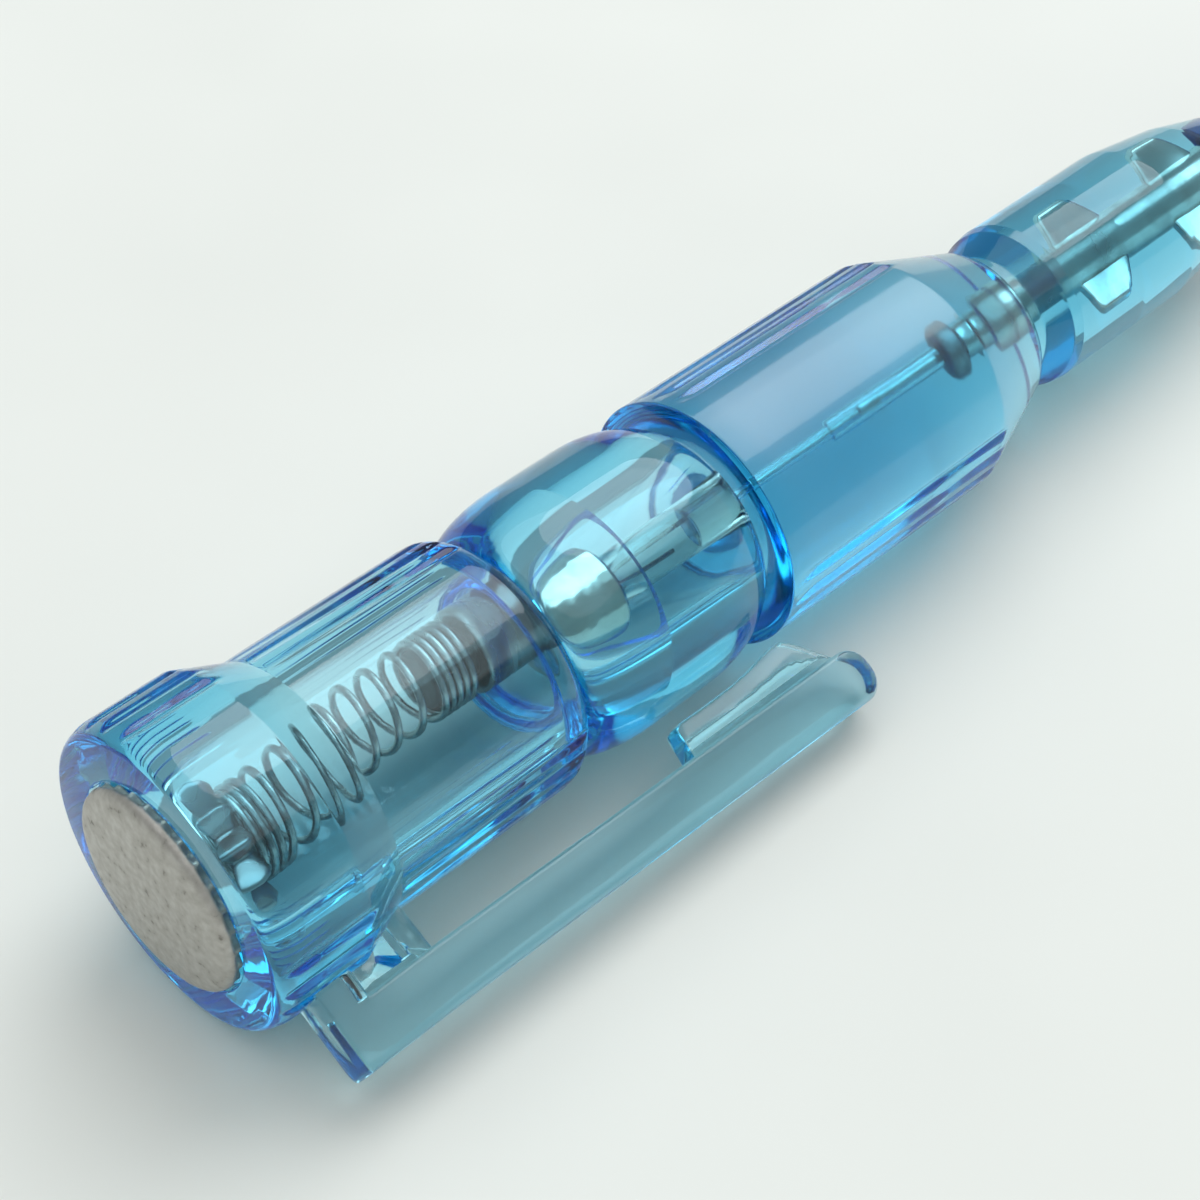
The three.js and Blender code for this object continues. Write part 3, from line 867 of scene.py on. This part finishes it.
for name, node_name, span, z in (
    ("lamp_wire_rear", "lamp_rear_electrode", rear_electrode_span, electrode_z),
    ("lamp_wire_front", "lamp_front_electrode", front_electrode_span, -electrode_z),
):
    electrode = wire(name, [(x, 0, z) for x in span], electrode_r, electrode_sides)
    electrode.data.materials.append(plated_wire)
    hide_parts(node_name)
    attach(electrode, "lamp_stack")

for name, node_name, x in (
    ("lamp_bead_rear", "lamp_rear_seal", glass_x),
    ("lamp_bead_front", "lamp_front_seal", glass_end_x - seal_length),
):
    seal = revolved(name, filleted([
        (x, 0, 0),
        (x, seal_r, seal_rear_round),
        (x + seal_length, seal_r, seal_front_round),
        (x + seal_length, 0, 0),
    ]), 40)
    seal.data.materials.append(lamp_clear)
    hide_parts(node_name)
    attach(seal, "lamp_stack")


# Resistor: a lacquered carbon rod with a pressed metal cap on each end, between the spring and the
# lamp. Its wide front cap takes the spring's push. It lies on the bore's wall, away from the clip.

resistor_drop = 1.25
resistor_r = 1.3
resistor_x = 17.15
resistor_end_x = 22.45
rear_cap_x = 16.6
rear_cap_end_x = 17.6
rear_cap_floor = 0.4
rear_cap_r = 1.6
front_cap_x = 19.3
front_cap_end_x = 23.0
front_cap_floor = 0.4
front_cap_r = 2.3
cap_fit_r = 1.4
resistor_end_round = 0.2
cap_end_round = 0.3
cap_lip_edge = 0.06
cap_rim_round = 0.2
cap_inner_edge = 0.1

resistor_rod = revolved("resistor_body", filleted([
    (resistor_x, 0, 0),
    (resistor_x, resistor_r, resistor_end_round),
    (resistor_end_x, resistor_r, resistor_end_round),
    (resistor_end_x, 0, 0),
]), 48)
resistor_rear_cap = revolved("resistor_cap_rear", filleted([
    (rear_cap_x, 0, 0),
    (rear_cap_x, rear_cap_r, cap_end_round),
    (rear_cap_end_x, rear_cap_r, cap_lip_edge),
    (rear_cap_end_x, cap_fit_r, cap_lip_edge),
    (rear_cap_x + rear_cap_floor, cap_fit_r, cap_inner_edge),
    (rear_cap_x + rear_cap_floor, 0, 0),
]), 56)
resistor_front_cap = revolved("resistor_cap_front", filleted([
    (front_cap_end_x, 0, 0),
    (front_cap_end_x, front_cap_r, cap_end_round),
    (front_cap_x, front_cap_r, cap_rim_round),
    (front_cap_x, cap_fit_r, cap_inner_edge),
    (front_cap_end_x - front_cap_floor, cap_fit_r, cap_inner_edge),
    (front_cap_end_x - front_cap_floor, 0, 0),
]), 56)

# Resistor lacquer: dark grey and half dull, mottled in spots about 0.6 mm across
lacquer_mottle = 0.6

lacquer, tree = new_material("grey resistor lacquer")
place = add_node(tree, "ShaderNodeTexCoord")
mottle = add_node(
    tree, "ShaderNodeTexNoise",
    {"Scale": 1 / (lacquer_mottle * mm), "Detail": 3.0},
    {"Vector": place.outputs["Object"]},
)
tone = add_node(
    tree, "ShaderNodeValToRGB", None, {"Fac": mottle.outputs["Fac"]},
    [(0.3, "#3B3D3E"), (0.7, "#5A5C5C")],
)
surface = add_node(
    tree, "ShaderNodeBsdfPrincipled", {"Roughness": 0.45}, {"Base Color": tone.outputs["Color"]},
)
add_node(tree, "ShaderNodeOutputMaterial", None, {"Surface": surface.outputs["BSDF"]})

# Dull nickel plate: a grey metal, with bands about 0.8 mm wide round it where it has been rubbed
rub_band = 0.8
rub_band_stretch = (1, 0.2, 0.2)

dull_nickel, tree = new_material("dull nickel plate")
place = add_node(tree, "ShaderNodeTexCoord")
roundabout = add_node(
    tree, "ShaderNodeMapping", {"Scale": rub_band_stretch}, {"Vector": place.outputs["Object"]},
)
bands = add_node(
    tree, "ShaderNodeTexNoise",
    {"Scale": 1 / (rub_band * mm), "Detail": 3.0},
    {"Vector": roundabout.outputs["Vector"]},
)
tone = add_node(
    tree, "ShaderNodeValToRGB", None, {"Fac": bands.outputs["Fac"]},
    [(0.3, "#75777A"), (0.7, "#B3B5B6")],
)
shine = add_node(
    tree, "ShaderNodeMapRange",
    {"From Min": 0.3, "From Max": 0.7, "To Min": 0.2, "To Max": 0.34},
    {"Value": bands.outputs["Fac"]},
)
surface = add_node(
    tree, "ShaderNodeBsdfPrincipled", {"Metallic": 1.0},
    {"Base Color": tone.outputs["Color"], "Roughness": shine.outputs["Result"]},
)
add_node(tree, "ShaderNodeOutputMaterial", None, {"Surface": surface.outputs["BSDF"]})

aside = Matrix.Translation(-pen_z * resistor_drop * mm)
for piece, node_name, finish in (
    (resistor_rod, "resistor_rod", lacquer),
    (resistor_rear_cap, "resistor_rear_cap", lacquer),
    (resistor_front_cap, "resistor_front_cap", dull_nickel),
):
    piece.data.transform(aside)
    piece.data.materials.append(finish)
    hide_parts(node_name)
    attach(piece, "lamp_stack")


# Contact spring: one length of drawn spring steel, coiled close at both ends. It stands round the
# touch cap's spigot. Its front turns hold the resistor and push on its front cap, so it bows to
# the side that the resistor lies on.

spring_rear_r = 2.3
spring_front_r = 2.0
spring_wire_r = 0.19
spring_start_x = 4.2
spring_end_x = 19.05
spring_bow_start_x = 4.8
spring_bow_end_x = 14.0
rear_turns = 3
rear_pitch = 0.5
open_turns = 7
front_turns = 5
front_pitch = 0.45
close_length = rear_turns * rear_pitch + front_turns * front_pitch
open_pitch = (spring_end_x - spring_start_x - 2 * spring_wire_r - close_length) / open_turns
steps_per_turn = 32

spring_line = []
x = spring_start_x + spring_wire_r
angle = 0.0
for turns, pitch in ((rear_turns, rear_pitch), (open_turns, open_pitch), (front_turns, front_pitch)):
    for k in range(turns * steps_per_turn):
        share = (x - spring_bow_start_x) / (spring_bow_end_x - spring_bow_start_x)
        share = min(max(share, 0), 1)
        bow = resistor_drop * share * share * (3 - 2 * share)
        radius = spring_rear_r + (spring_front_r - spring_rear_r) * share
        spring_line.append((x, radius * math.sin(angle), radius * math.cos(angle) - bow))
        angle += 2 * math.pi / steps_per_turn
        x += pitch / steps_per_turn
spring = wire("coil_spring", spring_line, spring_wire_r, 14)

# Drawn spring steel: a shiny grey wire, lighter in patches about 0.8 mm long
wire_patch = 0.8

spring_steel, tree = new_material("drawn spring steel")
place = add_node(tree, "ShaderNodeTexCoord")
patches = add_node(
    tree, "ShaderNodeTexNoise",
    {"Scale": 1 / (wire_patch * mm), "Detail": 3.0},
    {"Vector": place.outputs["Object"]},
)
tone = add_node(
    tree, "ShaderNodeValToRGB", None, {"Fac": patches.outputs["Fac"]},
    [(0.3, "#7A7E80"), (0.7, "#C2C5C4")],
)
shine = add_node(
    tree, "ShaderNodeMapRange",
    {"From Min": 0.3, "From Max": 0.7, "To Min": 0.16, "To Max": 0.28},
    {"Value": patches.outputs["Fac"]},
)
surface = add_node(
    tree, "ShaderNodeBsdfPrincipled", {"Metallic": 1.0},
    {"Base Color": tone.outputs["Color"], "Roughness": shine.outputs["Result"]},
)
add_node(tree, "ShaderNodeOutputMaterial", None, {"Surface": surface.outputs["BSDF"]})
spring.data.materials.append(spring_steel)
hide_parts("contact_spring")
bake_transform(spring)


# Touch cap: a plated steel cap turned on a lathe, which the thumb rests on. Its crowned head has a
# toothed edge, its ribbed shank is pressed into the bore, and its spigot centres the spring.

head_r = 5.35
head_edge_x = 0.72
head_back_x = 1.2
head_teeth = 28
tooth_depth = 0.35
shank_r = 4.2
shank_end_x = 3.9
shank_ribs = 16
rib_depth = 0.95
spigot_r = 1.45
spigot_end_x = 5.4
cap_columns = 336


# Teeth round an edge, as a radius at each angle
def toothed(radius, depth, count):
    return lambda angle: radius - depth * (0.5 + 0.5 * math.cos(count * angle)) ** 0.7


cap_rings = [
    (0.0, 0), (0.0, 2.0), (0.02, 3.4), (0.1, 4.3), (0.2, 4.8), (0.32, 5.1), (0.45, 5.25),
    (0.6, 5.32), (head_edge_x, head_r),
    (head_edge_x + 0.08, toothed(head_r, tooth_depth, head_teeth)),
    (head_back_x - 0.15, toothed(head_r, tooth_depth, head_teeth)),
    (head_back_x - 0.05, toothed(head_r - 0.1, tooth_depth - 0.05, head_teeth)),
    (head_back_x, toothed(head_r - 0.25, tooth_depth - 0.15, head_teeth)),
    (head_back_x, shank_r),
    (head_back_x + 0.02, toothed(shank_r - 0.05, rib_depth - 0.1, shank_ribs)),
    (head_back_x + 0.1, toothed(shank_r, rib_depth, shank_ribs)),
    (shank_end_x - 0.7, toothed(shank_r, rib_depth + 0.05, shank_ribs)),
    (shank_end_x - 0.3, toothed(shank_r - 0.25, rib_depth - 0.1, shank_ribs)),
    (shank_end_x, toothed(shank_r - 0.6, rib_depth - 0.35, shank_ribs)),
    (shank_end_x, spigot_r + 0.05), (shank_end_x + 0.05, spigot_r), (spigot_end_x - 0.2, spigot_r),
    (spigot_end_x - 0.05, spigot_r - 0.07), (spigot_end_x, 1.2), (spigot_end_x, 0),
]
touch_cap = revolved("cap_turning", cap_rings, cap_columns)

# Tumbled steel on the head, where the thumb has worn the plate off: a dull warm grey, with spots
# about 0.5 mm across and pits about 0.3 mm across that break up its highlights
spot_size = 0.5
pit_size = 0.3

tumbled, tree = new_material("tumbled worn steel")
place = add_node(tree, "ShaderNodeTexCoord")
spots = add_node(
    tree, "ShaderNodeTexNoise",
    {"Scale": 1 / (spot_size * mm), "Detail": 5.0},
    {"Vector": place.outputs["Object"]},
)
pits = add_node(
    tree, "ShaderNodeTexNoise",
    {"Scale": 1 / (pit_size * mm), "Detail": 2.0},
    {"Vector": place.outputs["Object"]},
)
tone = add_node(
    tree, "ShaderNodeValToRGB", None, {"Fac": spots.outputs["Fac"]},
    [(0.27, "#8F8C86"), (0.36, "#B7B4AE"), (0.7, "#C6C4BF")],
)
shine = add_node(
    tree, "ShaderNodeMapRange",
    {"From Min": 0.3, "From Max": 0.7, "To Min": 0.6, "To Max": 0.5},
    {"Value": spots.outputs["Fac"]},
)
bump = add_node(
    tree, "ShaderNodeBump",
    {"Strength": 0.35, "Distance": 0.08 * mm},
    {"Height": pits.outputs["Fac"]},
)
surface = add_node(
    tree, "ShaderNodeBsdfPrincipled", {"Metallic": 1.0},
    {
        "Base Color": tone.outputs["Color"],
        "Roughness": shine.outputs["Result"],
        "Normal": bump.outputs["Normal"],
    },
)
add_node(tree, "ShaderNodeOutputMaterial", None, {"Surface": surface.outputs["BSDF"]})

# The shank and the spigot, inside the bore, keep their dull nickel plate
touch_cap.data.materials.append(tumbled)
touch_cap.data.materials.append(dull_nickel)
shank_start_x = head_back_x + 0.01
for face in touch_cap.data.polygons:
    face.material_index = int((from_pen @ face.center).x > shank_start_x)
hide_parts("touch_cap")
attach(touch_cap, "handle")


# Table: a plain pale sheet that the tester lies on, with a wide soft lamp above it, a smaller one
# to the side of the blade and a pale room round it. Sizes here are in metres.

table_size = 8.0
table_z = -0.00002
table_corners = [(-1, -1), (1, -1), (1, 1), (-1, 1)]
table_mesh = bpy.data.meshes.new("table")
table_mesh.from_pydata(
    [(x * table_size / 2, y * table_size / 2, table_z) for x, y in table_corners], [], [(0, 1, 2, 3)],
)
table = bpy.data.objects.new("table", table_mesh)
bpy.context.scene.collection.objects.link(table)

# Matt laminate: nearly white, with clouds about 30 mm across that are hardly seen
cloud_size = 30.0

pale, tree = new_material("pale matt table")
place = add_node(tree, "ShaderNodeTexCoord")
clouds = add_node(
    tree, "ShaderNodeTexNoise",
    {"Scale": 1 / (cloud_size * mm), "Detail": 2.0},
    {"Vector": place.outputs["Object"]},
)
tone = add_node(
    tree, "ShaderNodeValToRGB", None, {"Fac": clouds.outputs["Fac"]},
    [(0.3, "#E2E6E2"), (0.7, "#E7EBE7")],
)
surface = add_node(
    tree, "ShaderNodeBsdfPrincipled", {"Roughness": 0.7}, {"Base Color": tone.outputs["Color"]},
)
add_node(tree, "ShaderNodeOutputMaterial", None, {"Surface": surface.outputs["BSDF"]})
table_mesh.materials.append(pale)

room_strength = 0.37
world = bpy.data.worlds.new("room")
bpy.context.scene.world = world
world.use_nodes = True
room = world.node_tree.nodes["Background"]
room.inputs["Color"].default_value = linear("#F3F7F6")
room.inputs["Strength"].default_value = room_strength

lit_place = Vector((-0.02, 0, 0))
lamps = [
    ("overhead", Vector((-0.02, 0.0, 1.0)), 2.2, 8.3),
    ("window", Vector((0.5, 0.2, 0.8)), 0.95, 5.0),
]
for name, lamp_place, size, power in lamps:
    lamp = bpy.data.lights.new(name, "AREA")
    lamp.shape = "DISK"
    lamp.size = size
    lamp.energy = power
    holder = bpy.data.objects.new(name, lamp)
    holder.location = lamp_place
    holder.rotation_euler = (lit_place - lamp_place).to_track_quat("-Z", "Y").to_euler()
    bpy.context.scene.collection.objects.link(holder)

# Camera: close above the touch cap's end, looking along the handle towards the blade
camera_place = (-0.10421, -0.060764, 0.097631)
camera_turn = (44.262, -0.12, -44.881)
camera_data = bpy.data.cameras.new("camera")
camera_data.sensor_width = 36
camera_data.lens = 75.59
camera_data.clip_start = 0.005
camera = bpy.data.objects.new("camera", camera_data)
camera.location = camera_place
camera.rotation_euler = [math.radians(turn) for turn in camera_turn]
bpy.context.scene.collection.objects.link(camera)
bpy.context.scene.camera = camera

# Clear plastic over glass and metal needs many bounces before it stops looking black
bpy.context.scene.view_settings.view_transform = "Standard"
cycles = bpy.context.scene.cycles
cycles.max_bounces = 28
cycles.transmission_bounces = 28
cycles.glossy_bounces = 12
